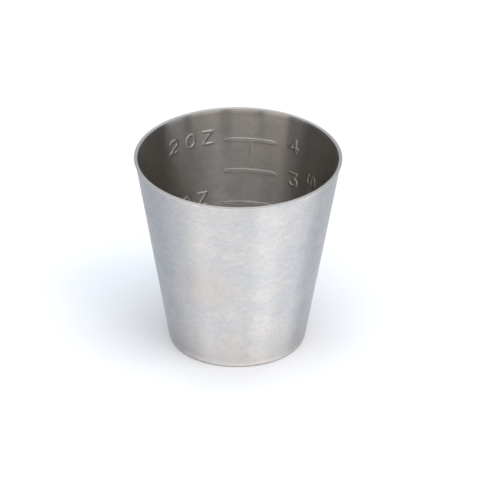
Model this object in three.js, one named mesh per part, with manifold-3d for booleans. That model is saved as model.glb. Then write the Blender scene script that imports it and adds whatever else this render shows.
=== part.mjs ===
// Bar jigger: a tapered measuring cup drawn from one sheet of satin stainless steel.
//
// Units are millimetres and +Z is up. The origin is on the cup's axis, on the underside of its
// flat base. The graduations face +Y. They are pressed in from outside, so each stroke is a low
// ridge on the inner wall with a groove of the same plan behind it on the outer wall.
//
// Marks are laid out flat first: x runs along the inner wall to the right of the graduation
// column, as seen from the cup's axis, and y is height above the base. wrap() rolls them up.

import * as THREE from 'three';
import { mergeVertices } from 'three/addons/utils/BufferGeometryUtils.js';
import Module from 'manifold-3d';

// The drawn cup.
const HEIGHT = 52.4;
const RIM_RADIUS = 26.8;
const BASE_RADIUS = 17.7; // the wall's cone where it meets the resting plane
const SHEET = 0.7; // thickness of the wall
const FLOOR = 0.8; // thickness of the base, which is drawn the least
const BASE_CORNER = 1.0; // outer radius of the turn from base to wall
const FLOOR_CORNER = 0.5; // inner radius of the same turn
const LIP_FLARE = 0.25; // how far the trimmed rim stands out of the wall's cone
const LIP_HEIGHT = 0.9; // how far down from the rim that flare starts
const WALL_FACETS = 72;
const CORNER_STEPS = 3;

// The pressed marks.
const RELIEF = 0.2; // height of a ridge, and depth of its groove
const DRAFT = 0.2; // how much each side of a ridge spreads from crest to foot
const LINE_WIDTH = 1.2;
const LINE_LENGTH = 14.0;
const STEM_LENGTH = 3.4; // down from a whole-ounce line
const LETTER_STROKE = 0.8;
const LETTER_HEIGHT = 3.3; // both along the middle of the strokes
const LETTER_WIDTH = 2.4;
const LETTER_PITCH = 4.7;
const WORD_GAP = 0.7;
const LONGEST_STEP = 2.6; // a straight stroke is split to follow the wall's curve
const SHARPEST_MITRE = (3 * Math.PI) / 4; // a stroke that turns more than this is cut in two

// The four lines: 4, 3, 2 and 1 US tablespoons fill the cup to their heights. Each label is
// { text, x, rise }: the place of its last character, along the wall and above its line.
const GRADUATIONS = [
  {
    height: 44.0,
    spoons: { text: '4', x: 12.3, rise: 0.7 },
    ounces: { text: '2 OZ', x: -11.6, rise: 1.15 },
  },
  {
    height: 35.6,
    spoons: { text: '3', x: 12.3, rise: 0.1 },
  },
  {
    height: 26.7,
    spoons: { text: '2', x: 12.3, rise: 0.4 },
    ounces: { text: '1 OZ', x: -12.5, rise: 2.0 },
  },
  {
    height: 14.8,
    spoons: { text: '1', x: 12.3, rise: 0.4 },
  },
];
const UNIT = { text: 'TBS', x: 19.0, middle: 33.1 }; // reads upward beside them

const wasm = await Module();
wasm.setup();

// Slope of the wall, and the sheet's thickness measured level across it.
const TAPER = Math.atan2(RIM_RADIUS - LIP_FLARE - BASE_RADIUS, HEIGHT);
const LEVEL_SHEET = SHEET / Math.cos(TAPER);

function outerRadius(height) {
  return BASE_RADIUS + height * Math.tan(TAPER);
}

function innerRadius(height) {
  return outerRadius(height) - LEVEL_SHEET;
}

// Points on a round turn of the profile, tangent to a level line at floorHeight and to the wall.
function cornerTurn(wallRadius, floorHeight, radius) {
  const centreHeight = floorHeight + radius;
  const centreRadius = wallRadius(centreHeight) - radius / Math.cos(TAPER);
  const points = [];
  for (let i = 0; i <= CORNER_STEPS; i += 1) {
    const angle = THREE.MathUtils.lerp(-Math.PI / 2, -TAPER, i / CORNER_STEPS);
    const x = centreRadius + radius * Math.cos(angle);
    const y = centreHeight + radius * Math.sin(angle);
    points.push(new THREE.Vector2(x, y));
  }
  return points;
}

// The cup's section, from the middle of the base up the outside and down the inside.
function cupProfile() {
  const lipFoot = HEIGHT - LIP_HEIGHT;
  return [
    new THREE.Vector2(0, 0),
    ...cornerTurn(outerRadius, 0, BASE_CORNER),
    new THREE.Vector2(outerRadius(lipFoot), lipFoot),
    new THREE.Vector2(RIM_RADIUS, HEIGHT),
    new THREE.Vector2(RIM_RADIUS - LEVEL_SHEET, HEIGHT),
    new THREE.Vector2(innerRadius(lipFoot), lipFoot),
    ...cornerTurn(innerRadius, FLOOR, FLOOR_CORNER).reverse(),
    new THREE.Vector2(0, FLOOR),
  ];
}

// A closed three.js geometry as a solid for joining and cutting.
function toSolid(geometry) {
  const bare = geometry.clone();
  bare.deleteAttribute('normal');
  bare.deleteAttribute('uv');
  const merged = mergeVertices(bare, 1e-5);
  const vertProperties = new Float32Array(merged.attributes.position.array);
  const triVerts = new Uint32Array(merged.index.array);
  return new wasm.Manifold(new wasm.Mesh({ numProp: 3, vertProperties, triVerts }));
}

function toGeometry(solid) {
  const mesh = solid.getMesh();
  const geometry = new THREE.BufferGeometry();
  geometry.setAttribute('position', new THREE.BufferAttribute(mesh.vertProperties, 3));
  geometry.setIndex(new THREE.BufferAttribute(mesh.triVerts, 1));
  geometry.computeVertexNormals();
  return geometry;
}

// Points of an elliptical arc inside a unit letter box, with angles in degrees.
function arc(cx, cy, rx, ry, from, to, steps) {
  const points = [];
  for (let i = 0; i <= steps; i += 1) {
    const angle = THREE.MathUtils.degToRad(THREE.MathUtils.lerp(from, to, i / steps));
    points.push([cx + rx * Math.cos(angle), cy + ry * Math.sin(angle)]);
  }
  return points;
}

// Single-stroke characters. Each is a list of strokes, each stroke a list of points in a unit box.
const CHARACTERS = {
  1: [[[0.2, 0.8], [0.5, 1], [0.5, 0]]],
  2: [[...arc(0.5, 0.7, 0.5, 0.3, 160, -20, 4), [0, 0], [1, 0]]],
  3: [[[0, 1], [1, 1], [0.45, 0.6], ...arc(0.5, 0.3, 0.5, 0.3, 50, -160, 4)]],
  4: [[[1, 0.3], [0, 0.3], [0.7, 1], [0.7, 0]]],
  O: [arc(0.5, 0.5, 0.5, 0.5, 0, 360, 8)],
  Z: [[[0, 1], [1, 1], [0, 0], [1, 0]]],
  T: [[[0, 1], [1, 1]], [[0.5, 1], [0.5, 0]]],
  B: [
    [[0, 0.5], [0, 1], [0.5, 1], ...arc(0.5, 0.75, 0.45, 0.25, 45, -45, 2), [0.5, 0.5], [0, 0.5]],
    [[0, 0.5], [0, 0], [0.5, 0], ...arc(0.5, 0.25, 0.5, 0.25, -45, 45, 2), [0.5, 0.5]],
  ],
  S: [[...arc(0.5, 0.75, 0.5, 0.25, 20, 250, 4), ...arc(0.5, 0.25, 0.5, 0.25, 70, -160, 4)]],
};

// The strokes of one character, centred on (x, y) and turned about it by angle.
function characterStrokes(character, x, y, angle) {
  return CHARACTERS[character].map((stroke) =>
    stroke.map(([u, v]) => {
      const point = new THREE.Vector2((u - 0.5) * LETTER_WIDTH, (v - 0.5) * LETTER_HEIGHT);
      point.rotateAround(new THREE.Vector2(), angle);
      return point.add(new THREE.Vector2(x, y));
    }),
  );
}

// A line of text that ends with its last character centred on (endX, y).
function textStrokes(text, endX, y) {
  const strokes = [];
  let x = endX;
  for (const character of [...text].reverse()) {
    if (character === ' ') {
      x -= WORD_GAP;
    } else {
      strokes.push(...characterStrokes(character, x, y, 0));
      x -= LETTER_PITCH;
    }
  }
  return strokes;
}

// The unit's letters, stacked so that they read upward.
function unitStrokes() {
  const first = UNIT.middle - (LETTER_PITCH * (UNIT.text.length - 1)) / 2;
  return [...UNIT.text].flatMap((character, i) =>
    characterStrokes(character, UNIT.x, first + i * LETTER_PITCH, Math.PI / 2),
  );
}

// The level line of one graduation, with a stem below it at each whole ounce.
function lineStrokes(graduation) {
  const middle = new THREE.Vector2(0, graduation.height);
  const reach = new THREE.Vector2(LINE_LENGTH / 2 - LINE_WIDTH / 2, 0);
  const strokes = [[middle.clone().sub(reach), middle.clone().add(reach)]];
  if (graduation.ounces) {
    strokes.push([middle, new THREE.Vector2(0, graduation.height - STEM_LENGTH)]);
  }
  return strokes;
}

// Every stroke of the marks with its width.
function allStrokes() {
  const lines = GRADUATIONS.flatMap(lineStrokes);
  const letters = unitStrokes();
  for (const { height, spoons, ounces } of GRADUATIONS) {
    for (const label of [spoons, ounces].filter(Boolean)) {
      letters.push(...textStrokes(label.text, label.x, height + label.rise));
    }
  }
  return [
    ...lines.map((points) => ({ points, width: LINE_WIDTH })),
    ...letters.map((points) => ({ points, width: LETTER_STROKE })),
  ];
}

// Splits the long straight pieces of a stroke into steps.
function withSteps(points) {
  const stepped = [points[0]];
  for (let i = 1; i < points.length; i += 1) {
    const steps = Math.ceil(points[i].distanceTo(points[i - 1]) / LONGEST_STEP);
    for (let step = 1; step <= steps; step += 1) {
      stepped.push(points[i - 1].clone().lerp(points[i], step / steps));
    }
  }
  return stepped;
}

// Cuts a stroke at its sharp corners, where a mitre would stick out.
function withoutCorners(points) {
  const pieces = [[points[0]]];
  for (let i = 1; i < points.length; i += 1) {
    pieces.at(-1).push(points[i]);
    if (i < points.length - 1) {
      const before = points[i].clone().sub(points[i - 1]);
      const after = points[i + 1].clone().sub(points[i]);
      if (Math.abs(before.angleTo(after)) > SHARPEST_MITRE) {
        pieces.push([points[i]]);
      }
    }
  }
  return pieces;
}

// Rolls a flat point onto the wall at wallRadius, depth nearer the axis.
function wrap(x, height, depth, wallRadius) {
  const angle = x / innerRadius(height);
  const reach = wallRadius(height) - depth;
  return [reach * Math.sin(angle), reach * Math.cos(angle), height];
}

// The unit directions along a stroke at each of its points, arriving and leaving. A closed
// stroke's first and last points are the same place.
function strokeDirections(points, closed) {
  const last = points.length - 1;
  const pieces = [];
  for (let i = 0; i < last; i += 1) {
    pieces.push(points[i + 1].clone().sub(points[i]).normalize());
  }
  return points.map((point, i) => {
    const arriving = i > 0 ? pieces[i - 1] : pieces[closed ? last - 1 : 0];
    const leaving = i < last ? pieces[i] : pieces[closed ? 0 : last - 1];
    return { leaving, along: arriving.clone().add(leaving).normalize() };
  });
}

// A stroke as a bar of hexagonal section along its points: widest in its middle plane, which lies
// on the wall, and drafted to a narrower crest on each side of it. The ends are drafted too.
function strokeGeometry(points, width, wallRadius) {
  const foot = width / 2;
  const crest = foot - DRAFT;
  const section = [
    [foot, 0],
    [crest, RELIEF],
    [-crest, RELIEF],
    [-foot, 0],
    [-crest, -RELIEF],
    [crest, -RELIEF],
  ];
  const endFaces = [[0, 2, 1], [0, 3, 2], [3, 5, 4], [3, 0, 5]];
  const sides = section.length;
  const last = points.length - 1;
  const closed = points[0].distanceTo(points[last]) < DRAFT;
  const positions = [];
  strokeDirections(points, closed).forEach(({ leaving, along }, i) => {
    const mitre = 1 / along.dot(leaving);
    const side = new THREE.Vector2(along.y, -along.x).multiplyScalar(mitre);
    const outward = closed ? 0 : Number(i === last) - Number(i === 0);
    for (const [across, depth] of section) {
      const flat = points[i].clone().addScaledVector(side, across);
      flat.addScaledVector(along, Math.abs(across) * outward);
      positions.push(...wrap(flat.x, flat.y, depth, wallRadius));
    }
  });
  const indices = [];
  for (let i = 0; i < last; i += 1) {
    for (let j = 0; j < sides; j += 1) {
      const here = i * sides + j;
      const next = i * sides + ((j + 1) % sides);
      indices.push(here, here + sides, next, next, here + sides, next + sides);
    }
  }
  if (!closed) {
    const end = last * sides;
    for (const [a, b, c] of endFaces) {
      indices.push(a, c, b, end + a, end + b, end + c);
    }
  }
  const geometry = new THREE.BufferGeometry();
  geometry.setAttribute('position', new THREE.Float32BufferAttribute(positions, 3));
  geometry.setIndex(indices);
  return geometry;
}

// All the marks as one solid whose middle plane lies on the wall at wallRadius.
function marksSolid(wallRadius) {
  const solids = [];
  for (const { points, width } of allStrokes()) {
    for (const piece of withoutCorners(points)) {
      solids.push(toSolid(strokeGeometry(withSteps(piece), width, wallRadius)));
    }
  }
  return solids.reduce((joined, solid) => joined.add(solid));
}

function cup() {
  const lathe = new THREE.LatheGeometry(cupProfile(), WALL_FACETS);
  lathe.rotateX(Math.PI / 2);
  const pressed = toSolid(lathe).add(marksSolid(innerRadius)).subtract(marksSolid(outerRadius));
  const satinSteel = new THREE.MeshStandardMaterial({
    color: 0xb9bbbd,
    roughness: 0.42,
    metalness: 1.0,
  });
  const mesh = new THREE.Mesh(toGeometry(pressed), satinSteel);
  mesh.name = 'measuring_cup';
  return mesh;
}

const jigger = new THREE.Group();
jigger.add(cup());

export default jigger;
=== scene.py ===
"""Bar jigger: the detailed cup, its satin steel, a pale studio floor, soft light and the camera.

Everything is in metres in the CAD's frame: +Z up, origin under the middle of the base, and the
graduations facing +Y. The cup is one closed mesh, a grid of rings that follows its section, with
the pressed marks standing in from the inner wall and sunk by the same amount in the outer one.
"""

import math
from dataclasses import dataclass

import bpy
import numpy as np
from mathutils import Matrix, Vector


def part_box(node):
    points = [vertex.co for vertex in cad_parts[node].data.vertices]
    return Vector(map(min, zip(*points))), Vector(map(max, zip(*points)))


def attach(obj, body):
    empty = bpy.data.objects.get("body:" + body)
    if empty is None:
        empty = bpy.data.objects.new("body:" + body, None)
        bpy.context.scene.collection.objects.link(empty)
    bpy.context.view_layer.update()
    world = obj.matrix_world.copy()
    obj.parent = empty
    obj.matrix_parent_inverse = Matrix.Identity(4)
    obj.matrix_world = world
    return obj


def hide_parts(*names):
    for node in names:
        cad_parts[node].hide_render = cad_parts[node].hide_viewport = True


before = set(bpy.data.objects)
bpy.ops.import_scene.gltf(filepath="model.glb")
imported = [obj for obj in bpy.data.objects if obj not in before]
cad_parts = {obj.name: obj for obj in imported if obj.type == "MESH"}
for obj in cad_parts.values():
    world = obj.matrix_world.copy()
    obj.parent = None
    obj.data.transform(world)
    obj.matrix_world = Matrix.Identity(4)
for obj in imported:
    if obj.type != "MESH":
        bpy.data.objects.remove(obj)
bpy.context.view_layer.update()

MM = 0.001
CUP_NODE = "measuring_cup"
cup_low, cup_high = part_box(CUP_NODE)

# The drawn cup. Its height and rim come from the frame; the rest follow the CAD's dimensions.
HEIGHT = cup_high.z
RIM_RADIUS = (cup_high.x - cup_low.x) / 2
BASE_RADIUS = 17.7 * MM  # the wall's cone where it meets the resting plane
SHEET = 0.7 * MM
FLOOR = 0.8 * MM
BASE_CORNER = 1.0 * MM
FLOOR_CORNER = 0.5 * MM
LIP_FLARE = 0.25 * MM
INNER_LIP_FLARE = 0.10 * MM  # trimming leaves the inner edge straighter than the outer one
LIP_HEIGHT = 0.9 * MM
RIM_EDGE = 0.14 * MM  # the trimmed rim's two edges are rounded this much
TAPER = math.atan2(RIM_RADIUS - LIP_FLARE - BASE_RADIUS, HEIGHT)
LEVEL_SHEET = SHEET / math.cos(TAPER)

# The pressed marks, laid out flat: x along the inner wall, y is height above the base.
LINE_RELIEF = 0.12 * MM
LINE_WIDTH = 1.2 * MM
LINE_LENGTH = 14.0 * MM
LINE_SIDE = 0.5  # share of a line's half width that its sloping side takes
LINE_DISH = 0.06 * MM  # the middle of a line's crest is this much lower than its edges
STEM_RELIEF = 0.07 * MM
STEM_WIDTH = 1.0 * MM
STEM_LENGTH = 3.4 * MM
ROUND_SIDE = 0.8  # letters and stems are almost round on top
LETTER_RELIEF = 0.14 * MM
LETTER_STROKE = 0.75 * MM
LETTER_HEIGHT = 3.3 * MM
LETTER_WIDTH = 2.4 * MM
LETTER_PITCH = 4.7 * MM
WORD_GAP = 0.7 * MM
GROOVE_SHARE = 0.85  # a groove outside is a little narrower than its ridge inside
GRADUATIONS = (  # height, tablespoons (text, x, rise), fluid ounces (text, x, rise)
    (44.0 * MM, ("4", 12.3 * MM, 0.7 * MM), ("2 OZ", -11.6 * MM, 1.15 * MM)),
    (35.6 * MM, ("3", 12.3 * MM, 0.1 * MM), None),
    (26.7 * MM, ("2", 12.3 * MM, 0.4 * MM), ("1 OZ", -12.5 * MM, 2.0 * MM)),
    (14.8 * MM, ("1", 12.3 * MM, 0.4 * MM), None),
)
UNIT_TEXT, UNIT_X, UNIT_MIDDLE = "TBS", 19.0 * MM, 33.1 * MM

# The grid is fine where there are marks and coarse elsewhere. The spans are in millimetres.
MARKS_LEFT, MARKS_RIGHT = -24.6 * MM, 21.8 * MM
COLUMNS_HEIGHT = 34 * MM  # the columns' places are measured along the inner wall at this height
PLAIN_COLUMNS = 80  # around the side without marks
FINE_X_SPANS = ((-24.6, -9.6), (-7.6, -6.2), (-0.8, 0.8), (6.2, 7.6), (10.4, 13.9), (16.6, 21.8))
FINE_Y_SPANS = ((12.8, 17.4), (24.9, 31.0), (31.0, 39.8), (40.2, 47.6))
FINE_INSIDE = 0.17 * MM
FINE_OUTSIDE = 0.26 * MM
COARSE = 1.4 * MM
BETWEEN_MARKS = 0.7 * MM
BASE_FLAT = 15.5 * MM
BASE_RINGS = [share * BASE_FLAT for share in (0.2, 0.4, 0.6, 0.8, 1.0)]
BASE_CORNER_STEPS = 9
FLOOR_CORNER_STEPS = 7
RIM_EDGE_STEPS = 6
WALL_FOOT = 2.6 * MM  # the wall runs straight above this height
WALL_TOP = HEIGHT - RIM_EDGE
LIP_HEIGHTS = [HEIGHT - LIP_HEIGHT * share for share in (1.0, 0.8, 0.6, 0.4, 0.25)]
RIM_FOOT = WALL_TOP - RIM_EDGE / 2  # faces wholly above this are the trimmed edge
INSIDE_MASK = "inside"
WALL_MATERIAL, RIM_MATERIAL = 0, 1
NEARLY_ZERO = 1e-18  # keeps a stroke's repeated point from dividing by zero
ROUNDING = 1e-6


@dataclass
class Ring:
    """One ring of the cup's section; share is the width of its marks, 0 where there are none."""

    radius: float
    height: float
    share: float = 0.0
    inside: float = 0.0


def outer_radius(height):
    return BASE_RADIUS + height * math.tan(TAPER)


def inner_radius(height):
    return outer_radius(height) - LEVEL_SHEET


# ---------------------------------------------------------------- the marks


def arc(cx, cy, rx, ry, start, end, steps=16):
    """Points of an elliptical arc in a unit letter box, with angles in degrees."""
    angles = np.radians(np.linspace(start, end, steps))
    return [(cx + rx * math.cos(a), cy + ry * math.sin(a)) for a in angles]


CHARACTERS = {
    "1": [[(0.2, 0.8), (0.5, 1), (0.5, 0)]],
    "2": [[*arc(0.5, 0.7, 0.5, 0.3, 160, -20), (0, 0), (1, 0)]],
    "3": [[(0, 1), (1, 1), (0.45, 0.6), *arc(0.5, 0.3, 0.5, 0.3, 70, -160)]],
    "4": [[(1, 0.3), (0, 0.3), (0.7, 1), (0.7, 0)]],
    "O": [arc(0.5, 0.5, 0.5, 0.5, 0, 360, 32)],
    "Z": [[(0, 1), (1, 1), (0, 0), (1, 0)]],
    "T": [[(0, 1), (1, 1)], [(0.5, 1), (0.5, 0)]],
    "B": [
        [(0, 0.5), (0, 1), (0.5, 1), *arc(0.5, 0.75, 0.45, 0.25, 90, -90), (0, 0.5)],
        [(0, 0.5), (0, 0), (0.5, 0), *arc(0.5, 0.25, 0.5, 0.25, -90, 90)],
    ],
    "S": [[*arc(0.5, 0.75, 0.5, 0.25, 20, 270), *arc(0.5, 0.25, 0.5, 0.25, 90, -160)]],
}


def character_strokes(character, x, y, turn=0.0):
    """One character's strokes, centred on (x, y) and turned about it."""
    strokes = []
    for stroke in CHARACTERS[character]:
        flat = (np.array(stroke) - 0.5) * (LETTER_WIDTH, LETTER_HEIGHT)
        spin = np.array(((math.cos(turn), math.sin(turn)), (-math.sin(turn), math.cos(turn))))
        strokes.append(flat @ spin + (x, y))
    return strokes


def text_strokes(text, end_x, y):
    """A line of text that ends with its last character centred on (end_x, y)."""
    strokes = []
    x = end_x
    for character in reversed(text):
        if character == " ":
            x -= WORD_GAP
        else:
            strokes += character_strokes(character, x, y)
            x -= LETTER_PITCH
    return strokes


def letter_strokes():
    """Every numeral and letter."""
    strokes = []
    for height, *labels in GRADUATIONS:
        for text, x, rise in filter(None, labels):
            strokes += text_strokes(text, x, height + rise)
    first = UNIT_MIDDLE - LETTER_PITCH * (len(UNIT_TEXT) - 1) / 2
    for i, character in enumerate(UNIT_TEXT):
        strokes += character_strokes(character, UNIT_X, first + i * LETTER_PITCH, math.pi / 2)
    return strokes


def line_strokes():
    """The four level lines."""
    reach = LINE_LENGTH / 2 - LINE_WIDTH / 2
    return [np.array(((-reach, height), (reach, height))) for height, _, _ in GRADUATIONS]


def stem_strokes():
    """The stem below each whole ounce's line."""
    heights = [height for height, _, ounces in GRADUATIONS if ounces]
    return [np.array(((0, height), (0, height - STEM_LENGTH))) for height in heights]


def distance_to(strokes, x, y):
    """How far each point is from the nearest stroke."""
    nearest = np.full(x.shape, np.inf)
    for stroke in strokes:
        for (ax, ay), (bx, by) in zip(stroke[:-1], stroke[1:]):
            dx, dy = bx - ax, by - ay
            along = ((x - ax) * dx + (y - ay) * dy) / max(dx * dx + dy * dy, NEARLY_ZERO)
            along = np.clip(along, 0, 1)
            nearest = np.minimum(nearest, np.hypot(x - ax - along * dx, y - ay - along * dy))
    return nearest


def smooth(t):
    """Rise from 0 to 1 with level ends."""
    t = np.clip(t, 0, 1)
    return t * t * (3 - 2 * t)


def relief(x, y, share):
    """Height of the marks over the wall at each point: ridges with soft feet."""
    letters = distance_to(LETTERS, x, y) / (LETTER_STROKE / 2 * share)
    stems = distance_to(STEMS, x, y) / (STEM_WIDTH / 2 * share)
    lines = distance_to(LINES, x, y) / (LINE_WIDTH / 2 * share)
    letter_height = LETTER_RELIEF * smooth((1 - letters) / ROUND_SIDE)
    stem_height = STEM_RELIEF * smooth((1 - stems) / ROUND_SIDE)
    line_height = LINE_RELIEF * smooth((1 - lines) / LINE_SIDE)
    line_height -= LINE_DISH * smooth((1 - LINE_SIDE - lines) / LINE_SIDE)
    return np.maximum.reduce((letter_height, stem_height, line_height))


LETTERS = letter_strokes()
LINES = line_strokes()
STEMS = stem_strokes()

# ---------------------------------------------------------------- the cup's mesh


def graded(low, high, fine_spans, fine, coarse):
    """Positions from low to high, spaced by fine inside the spans and by coarse outside."""
    ends = {low, high}
    for start, end in fine_spans:
        ends |= {min(max(start * MM, low), high), min(max(end * MM, low), high)}
    ends = sorted(ends)
    positions = [low]
    for start, end in zip(ends[:-1], ends[1:]):
        middle = (start + end) / 2
        inside = any(a * MM <= middle <= b * MM for a, b in fine_spans)
        steps = max(1, math.ceil((end - start) / (fine if inside else coarse) - ROUNDING))
        positions += [start + (end - start) * (i + 1) / steps for i in range(steps)]
    return positions


def corner(radius_at, floor_height, radius, steps):
    """Section points (radius, height) of a turn tangent to a level floor and to the wall."""
    height = floor_height + radius
    centre = radius_at(height) - radius / math.cos(TAPER)
    angles = np.linspace(-math.pi / 2, -TAPER, steps)
    return [(centre + radius * math.cos(a), height + radius * math.sin(a)) for a in angles]


def flared(radius_at, height, flare):
    """The wall's radius at this height, turned out by flare at the rim."""
    return radius_at(height) + flare * float(smooth((height - HEIGHT + LIP_HEIGHT) / LIP_HEIGHT))


def outer_section():
    """The outer half of the section, from the middle of the base up to the rim."""
    heights = graded(WALL_FOOT, WALL_TOP, FINE_Y_SPANS, FINE_OUTSIDE, COARSE)
    rows = [Ring(r, 0.0) for r in BASE_RINGS]
    rows += [Ring(r, h) for r, h in corner(outer_radius, 0.0, BASE_CORNER, BASE_CORNER_STEPS)]
    rows += [
        Ring(flared(outer_radius, h, LIP_FLARE), h, share=GROOVE_SHARE)
        for h in sorted({*heights, *LIP_HEIGHTS})
    ]
    return rows


def inner_section():
    """The inner half of the section, from the rim down to the middle of the floor."""
    heights = graded(WALL_FOOT, WALL_TOP, FINE_Y_SPANS, FINE_INSIDE, COARSE)
    rows = [
        Ring(flared(inner_radius, h, INNER_LIP_FLARE), h, share=1.0, inside=1.0)
        for h in sorted({*heights, *LIP_HEIGHTS}, reverse=True)
    ]
    turn = corner(inner_radius, FLOOR, FLOOR_CORNER, FLOOR_CORNER_STEPS)
    rows += [Ring(r, h, inside=1.0) for r, h in reversed(turn)]
    rows += [Ring(r, FLOOR, inside=1.0) for r in reversed(BASE_RINGS)]
    return rows


def rim_section():
    """The trimmed rim between them: a level edge with its two corners just broken."""
    angles = np.linspace(0, math.pi / 2, RIM_EDGE_STEPS)[1:]
    outer = RIM_RADIUS - RIM_EDGE
    inner = inner_radius(HEIGHT) + INNER_LIP_FLARE + RIM_EDGE
    rises = [WALL_TOP + RIM_EDGE * math.sin(a) for a in angles]
    reaches = [RIM_EDGE * math.cos(a) for a in angles]
    rows = [Ring(outer + reach, rise) for reach, rise in zip(reaches, rises)]
    rows += [
        Ring(inner - reach, rise, inside=1.0)
        for reach, rise in zip(reversed(reaches), reversed(rises))
    ]
    return rows


def columns():
    """Azimuths of the grid's columns, clockwise from +Y as seen from above, once round."""
    marked = np.array(graded(MARKS_LEFT, MARKS_RIGHT, FINE_X_SPANS, FINE_INSIDE, BETWEEN_MARKS))
    marked /= inner_radius(COLUMNS_HEIGHT)
    plain = np.linspace(marked[-1], marked[0] + 2 * math.pi, PLAIN_COLUMNS)[1:-1]
    return np.concatenate((marked, plain))


def ring_points(ring, azimuths):
    """One ring of the cup, drawn in towards the axis wherever a mark stands."""
    wrapped = np.where(azimuths > math.pi, azimuths - 2 * math.pi, azimuths)
    heights = np.full(len(azimuths), ring.height)
    reach = np.full(len(azimuths), ring.radius)
    if ring.share:
        reach -= relief(wrapped * inner_radius(ring.height), heights, ring.share)
    return np.stack((reach * np.sin(azimuths), reach * np.cos(azimuths), heights), 1)


def cup_mesh():
    """The whole cup as one closed grid, with a fan at each end on the axis."""
    rings = outer_section() + rim_section() + inner_section()
    azimuths = columns()
    count = len(azimuths)
    points = np.concatenate([ring_points(ring, azimuths) for ring in rings])
    bottom, top = len(points), len(points) + 1
    points = np.concatenate((points, ((0, 0, 0), (0, 0, FLOOR))))
    last = bottom - count
    faces = []
    for i in range(count):
        j = (i + 1) % count
        faces.append((bottom, i, j))
        faces.append((top, last + j, last + i))
        for here in range(0, last, count):
            faces.append((here + i, here + count + i, here + count + j, here + j))
    mesh = bpy.data.meshes.new("measuring_cup_fine")
    mesh.from_pydata(points.tolist(), [], faces)
    for face in mesh.polygons:
        lowest = min(mesh.vertices[vertex].co.z for vertex in face.vertices)
        face.material_index = RIM_MATERIAL if lowest > RIM_FOOT else WALL_MATERIAL
    inside = np.repeat([ring.inside for ring in rings], count).tolist() + [0.0, 1.0]
    mesh.attributes.new(INSIDE_MASK, "FLOAT", "POINT").data.foreach_set("value", inside)
    mesh.shade_smooth()
    return mesh


# ---------------------------------------------------------------- materials


class Nodes:
    """A short way to add shader nodes; each method returns the new node's output."""

    def __init__(self, name):
        self.material = bpy.data.materials.new(name)
        self.material.use_nodes = True
        self.tree = self.material.node_tree
        self.shader = self.tree.nodes["Principled BSDF"]

    def node(self, kind, inputs=(), **settings):
        node = self.tree.nodes.new(kind)
        for name, value in settings.items():
            setattr(node, name, value)
        for key, value in dict(inputs).items():
            if isinstance(value, bpy.types.NodeSocket):
                self.tree.links.new(value, node.inputs[key])
            else:
                node.inputs[key].default_value = value
        return node

    def math(self, operation, a, b):
        return self.node("ShaderNodeMath", {0: a, 1: b}, operation=operation).outputs[0]

    def length(self, vector):
        node = self.node("ShaderNodeVectorMath", {0: vector}, operation="LENGTH")
        return node.outputs["Value"]

    def distance(self, place, other):
        node = self.node("ShaderNodeVectorMath", {0: place, 1: other}, operation="DISTANCE")
        return node.outputs["Value"]

    def product(self, a, b):
        return self.node("ShaderNodeVectorMath", {0: a, 1: b}, operation="MULTIPLY").outputs[0]

    def scaled(self, vector, share):
        inputs = {0: vector, "Scale": share}
        return self.node("ShaderNodeVectorMath", inputs, operation="SCALE").outputs[0]

    def total(self, *parts, start=0.0):
        """start plus each value times its weight."""
        for value, weight in parts:
            start = self.math("ADD", start, self.math("MULTIPLY", value, weight))
        return start

    def ramp(self, value, low, high, to_low, to_high):
        """Carry value from the range low..high to to_low..to_high, held at both ends."""
        keys = ("Value", "From Min", "From Max", "To Min", "To Max")
        values = (value, low, high, to_low, to_high)
        return self.node("ShaderNodeMapRange", dict(zip(keys, values))).outputs[0]

    def blend(self, share, a, b):
        inputs = {"Factor": share, "A": a, "B": b}
        mix = self.tree.nodes.new("ShaderNodeMix")
        mix.data_type = "RGBA"
        for socket in mix.inputs:
            if socket.enabled and socket.name in inputs:
                value = inputs[socket.name]
                if isinstance(value, bpy.types.NodeSocket):
                    self.tree.links.new(value, socket)
                else:
                    socket.default_value = value
        return next(socket for socket in mix.outputs if socket.enabled)

    def noise(self, place, around, up, detail):
        """Smooth noise whose cells are around wide and up tall."""
        stretched = self.product(place, (1 / around, 1 / around, 1 / up))
        inputs = {"Vector": stretched, "Scale": 1.0, "Detail": detail}
        return self.node("ShaderNodeTexNoise", inputs).outputs["Fac"]

    def use(self, **values):
        """Set or link the shader's own sockets."""
        for name, value in values.items():
            socket = self.shader.inputs[name.replace("_", " ").title()]
            if isinstance(value, bpy.types.NodeSocket):
                self.tree.links.new(value, socket)
            else:
                socket.default_value = value


# Satin steel. The outside is rougher than the drawn inside. The outside's colours are lighter
# than the steel's own, painted light, and the inside's are darker, painted shade in the cup's
# hollow.
LIT_OUTSIDE_COOL = (0.843, 0.856, 0.872, 1)
LIT_OUTSIDE_WARM = (0.872, 0.855, 0.838, 1)
SHADED_INSIDE_COOL = (0.49, 0.48, 0.452, 1)
SHADED_INSIDE_WARM = (0.517, 0.48, 0.447, 1)
RIM_COLOUR = (0.54, 0.52, 0.49)
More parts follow.
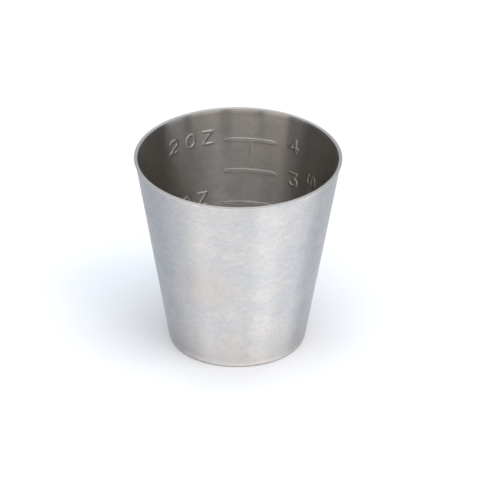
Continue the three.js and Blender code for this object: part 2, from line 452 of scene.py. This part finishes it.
# Colour of the thumb's stain and of the painted shade just above the base.
STAIN_AND_BASE_SHADE_COLOUR = (0.81, 0.765, 0.725, 1)
FLOOR_COLOUR = (0.43, 0.425, 0.415, 1)
OUTSIDE_ROUGHNESS = 0.60
INSIDE_ROUGHNESS = 0.31
FLOOR_ROUGHNESS = 0.78  # the inside bottom is left dull by the punch
RIM_ROUGHNESS = 0.7  # where the grain is at its least
ROUGHNESS_SPREAD = 0.05  # how much the roughness follows the mottle
RIM_ROUGHNESS_SPREAD = 0.2
BRUSHING = 0.95  # how much wider the reflection spreads up and down than around
RIM_BRUSHING = 0.3
ACROSS_THE_SATIN = 0.25  # a quarter turn, since the satin's lines run around the cup
GRAIN = (0.6 * MM, 0.38 * MM)  # width around the cup, height
MOTTLE = (1.9 * MM, 1.3 * MM)
CLOUD = (8.0 * MM, 6.0 * MM)
CLOUD_NOISE = (0.35, 0.65)  # this range of the noise covers the whole way from cool to warm
DARKEST = 0.72  # tone where grain, mottle and cloud are all at their least
GRAIN_TONE, MOTTLE_TONE, CLOUD_TONE, RING_TONE = 0.28, 0.23, 0.05, 0.2
RIM_DARKEST, RIM_GRAIN_TONE = 0.85, 0.3
SATIN_DEPTH = 0.010 * MM
GRAIN_DEPTH = 0.15  # the grain is this share as deep as the mottle
INSIDE_DEPTH = 0.15  # the inside's satin is this share as deep as the outside's

# Where the satin is stained, in front where a thumb holds it, and where painted shade makes it
# darker and warmer, just above the base.
THUMB_PLACE = (-4.5 * MM, -21.3 * MM, 25.0 * MM)
THUMB_REACH = (2.5 * MM, 9.5 * MM)  # fully stained within the first, clean past the second
# Painted shade: darker and warmer towards the base, at its deepest below the first height and
# gone above the second.
BASE_SHADE_REACH = (3.0 * MM, 13.0 * MM)
DEEPEST_BASE_SHADE = 0.7
PATCH_NOISE = (0.36, 0.64)
PATCH_SHARES = (0.25, 0.85)  # the stain's strength varies from patch to patch
FLOOR_EDGE = (FLOOR + 0.2 * MM, FLOOR + 1.2 * MM)
PUNCH_RING = 0.3 * MM  # the punch's turning marks, printed on the floor


def thumb_stain_and_base_shade_share(nodes, place, height, mottle):
    """How stained by a thumb the outside is, and how much painted shade it has just above the
    base.
    """
    thumbed = nodes.ramp(nodes.distance(place, THUMB_PLACE), *THUMB_REACH, 1.0, 0.0)
    # Painted shade, darker and warmer towards the base.
    painted_base_shade = nodes.ramp(height, *BASE_SHADE_REACH, DEEPEST_BASE_SHADE, 0.0)
    patches = nodes.ramp(mottle, *PATCH_NOISE, *PATCH_SHARES)
    return nodes.math("MULTIPLY", nodes.math("MAXIMUM", thumbed, painted_base_shade), patches)


def punch_rings(nodes, place, on_floor):
    """Rings around the axis, on the floor only."""
    radius = nodes.length(nodes.product(place, (1, 1, 0)))
    along = nodes.node("ShaderNodeCombineXYZ", {0: radius}).outputs[0]
    rings = nodes.noise(along, PUNCH_RING, PUNCH_RING, detail=1.0)
    return nodes.math("MULTIPLY", rings, on_floor)


def satin_steel():
    """Satined steel, a little stained where a thumb holds it, with painted shade just above the
    base, painted light on the outside and painted shade on the inside.
    """
    nodes = Nodes("satin_steel")
    place = nodes.node("ShaderNodeTexCoord").outputs["Object"]
    height = nodes.node("ShaderNodeSeparateXYZ", {0: place}).outputs["Z"]
    inside = nodes.node("ShaderNodeAttribute", attribute_name=INSIDE_MASK).outputs["Fac"]
    on_floor = nodes.ramp(height, *FLOOR_EDGE, 1.0, 0.0)
    grain = nodes.noise(place, *GRAIN, detail=3.0)
    mottle = nodes.noise(place, *MOTTLE, detail=2.0)
    cloud = nodes.ramp(nodes.noise(place, *CLOUD, detail=3.0), *CLOUD_NOISE, 0.0, 1.0)
    rings = punch_rings(nodes, place, on_floor)

    thumb_stain_and_base_shade = thumb_stain_and_base_shade_share(nodes, place, height, mottle)
    # Painted light: the outside's colour is lighter than the steel's own.
    lit_outside_colour = nodes.blend(cloud, LIT_OUTSIDE_COOL, LIT_OUTSIDE_WARM)
    # A thumb's stain in front, and painted shade just above the base.
    lit_outside_colour = nodes.blend(thumb_stain_and_base_shade, lit_outside_colour, STAIN_AND_BASE_SHADE_COLOUR)
    # Painted shade: the inside's colour is darker than the steel's own.
    shaded_inside_colour = nodes.blend(cloud, SHADED_INSIDE_COOL, SHADED_INSIDE_WARM)
    wall_colour = nodes.blend(inside, lit_outside_colour, shaded_inside_colour)
    floor_colour = nodes.blend(inside, lit_outside_colour, FLOOR_COLOUR)
    colour = nodes.blend(on_floor, wall_colour, floor_colour)
    shades = (grain, GRAIN_TONE), (mottle, MOTTLE_TONE), (cloud, CLOUD_TONE), (rings, RING_TONE)
    tone = nodes.total(*shades, start=DARKEST)

    satin = nodes.ramp(inside, 0.0, 1.0, OUTSIDE_ROUGHNESS, INSIDE_ROUGHNESS)
    to_floor = nodes.math("SUBTRACT", FLOOR_ROUGHNESS, satin)
    satin = nodes.math("ADD", satin, nodes.math("MULTIPLY", to_floor, on_floor))
    spots = (mottle, ROUGHNESS_SPREAD), (satin, 1.0)
    depth = nodes.ramp(inside, 0.0, 1.0, 1.0, INSIDE_DEPTH)
    surface = nodes.math("MULTIPLY", nodes.total((grain, GRAIN_DEPTH), (mottle, 1.0)), depth)
    bump = nodes.node("ShaderNodeBump", {"Height": surface, "Distance": SATIN_DEPTH})
    nodes.use(
        metallic=1.0,
        base_color=nodes.scaled(colour, tone),
        roughness=nodes.total(*spots, start=-ROUGHNESS_SPREAD / 2),
        anisotropic=BRUSHING,
        anisotropic_rotation=ACROSS_THE_SATIN,
        normal=bump.outputs["Normal"],
    )
    return nodes.material


def trimmed_edge():
    """The rim's cut edge: dull plain steel, with hardly any lines around the cup."""
    nodes = Nodes("trimmed_edge")
    place = nodes.node("ShaderNodeTexCoord").outputs["Object"]
    grain = nodes.noise(place, *GRAIN, detail=3.0)
    tone = nodes.total((grain, RIM_GRAIN_TONE), start=RIM_DARKEST)
    nodes.use(
        metallic=1.0,
        base_color=nodes.scaled(RIM_COLOUR, tone),
        roughness=nodes.total((grain, RIM_ROUGHNESS_SPREAD), start=RIM_ROUGHNESS),
        anisotropic=RIM_BRUSHING,
        anisotropic_rotation=ACROSS_THE_SATIN,
    )
    return nodes.material


def studio_floor():
    """Matt white paper."""
    nodes = Nodes("studio_floor")
    nodes.use(base_color=(0.86, 0.86, 0.86, 1), roughness=0.9)
    return nodes.material


# ---------------------------------------------------------------- the scene


def add_object(name, mesh, *materials):
    piece = bpy.data.objects.new(name, mesh)
    bpy.context.scene.collection.objects.link(piece)
    for material in materials:
        mesh.materials.append(material)
    return piece


def make_cup():
    piece = add_object("fine_cup", cup_mesh(), satin_steel(), trimmed_edge())
    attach(piece, "root")
    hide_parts(CUP_NODE)


FLOOR_REACH = 3.0


def make_floor():
    near, far = -FLOOR_REACH, FLOOR_REACH
    mesh = bpy.data.meshes.new("studio_floor")
    corners = [(near, near, 0), (far, near, 0), (far, far, 0), (near, far, 0)]
    mesh.from_pydata(corners, [], [(0, 1, 2, 3)])
    add_object("studio_floor", mesh, studio_floor())


# The view: from in front and above, turned a little so that the marks sit right of the middle.
PITCH = math.radians(30.0)
TURN = math.radians(7.8)
ROLL = 0.0058  # in radians
DISTANCE = 60 * RIM_RADIUS
SENSOR_WIDTH = 36.0
SCALE = 0.2156  # the rim's radius as a share of the picture's width
SHIFT_RIGHT = -0.0225 * RIM_RADIUS
SHIFT_UP = -0.0523 * RIM_RADIUS


def make_camera():
    camera = bpy.data.objects.new("camera", bpy.data.cameras.new("camera"))
    bpy.context.scene.collection.objects.link(camera)
    bpy.context.scene.camera = camera
    camera.data.sensor_width = SENSOR_WIDTH
    camera.data.lens = SENSOR_WIDTH * SCALE * DISTANCE / RIM_RADIUS
    camera.data.clip_start = 0.1
    camera.data.clip_end = 20
    turn = Matrix.Rotation(TURN, 3, "Z")
    right = turn @ Vector((1, 0, 0))
    up = turn @ Vector((0, math.sin(PITCH), math.cos(PITCH)))
    forward = turn @ Vector((0, math.cos(PITCH), -math.sin(PITCH)))
    middle = Vector((0, 0, HEIGHT / 2))
    place = middle - right * SHIFT_RIGHT - up * SHIFT_UP - forward * DISTANCE
    rolled_right = right * math.cos(ROLL) + up * math.sin(ROLL)
    rolled_up = up * math.cos(ROLL) - right * math.sin(ROLL)
    axes = Matrix((rolled_right, rolled_up, -forward)).transposed()
    camera.matrix_world = Matrix.Translation(place) @ axes.to_4x4()


SOFTBOX_DISTANCE = 1.1
AIM = Vector((0, 0, 0.02))
WORLD_COLOUR = (0.5, 0.75, 1.0, 1)
WORLD_STRENGTH = 0.13
SOFTBOXES = (  # azimuth and elevation seen from the cup, width and height, power, colour
    ("overhead", 0, 88, 1.1, 1.1, 15.0, (0.88, 0.92, 1.0)),
    ("front", 0, 30, 0.6, 0.9, 1.65, (1.0, 0.88, 0.75)),
    ("front_left", -36, 24, 0.55, 0.9, 1.7, (1.0, 0.88, 0.75)),
    ("left", -66, 24, 0.35, 0.9, 0.4, (1.0, 0.94, 0.9)),
    ("front_right", 46, 24, 0.65, 0.9, 1.35, (1.0, 0.88, 0.76)),
    ("right", 84, 24, 0.45, 0.9, 1.2, (0.95, 0.94, 0.98)),
    ("right_high", 62, 58, 0.6, 0.3, 2.3, (1.0, 0.95, 0.92)),
    ("back_left", -140, 30, 0.5, 0.9, 0.5, (1.0, 0.92, 0.85)),
    ("back_right", 145, 30, 0.5, 0.9, 0.6, (1.0, 0.92, 0.85)),
)


def add_softbox(name, azimuth, elevation, width, height, power, colour):
    """A soft area light; its azimuth is 0 in front of the cup and 90 degrees at the right."""
    light = bpy.data.lights.new(name, "AREA")
    light.shape = "RECTANGLE"
    light.size, light.size_y = width, height
    light.energy = power
    light.color = colour
    around, up = math.radians(azimuth), math.radians(elevation)
    across = math.cos(up)
    towards = Vector((math.sin(around) * across, -math.cos(around) * across, math.sin(up)))
    lamp = bpy.data.objects.new(name, light)
    bpy.context.scene.collection.objects.link(lamp)
    lamp.location = towards * SOFTBOX_DISTANCE
    lamp.rotation_euler = (AIM - lamp.location).to_track_quat("-Z", "Y").to_euler()


def make_light():
    world = bpy.data.worlds.new("studio")
    bpy.context.scene.world = world
    world.use_nodes = True
    background = world.node_tree.nodes["Background"]
    background.inputs["Color"].default_value = WORLD_COLOUR
    background.inputs["Strength"].default_value = WORLD_STRENGTH
    for softbox in SOFTBOXES:
        add_softbox(*softbox)
    bpy.context.scene.view_settings.view_transform = "Standard"


make_camera()
make_cup()
make_floor()
make_light()
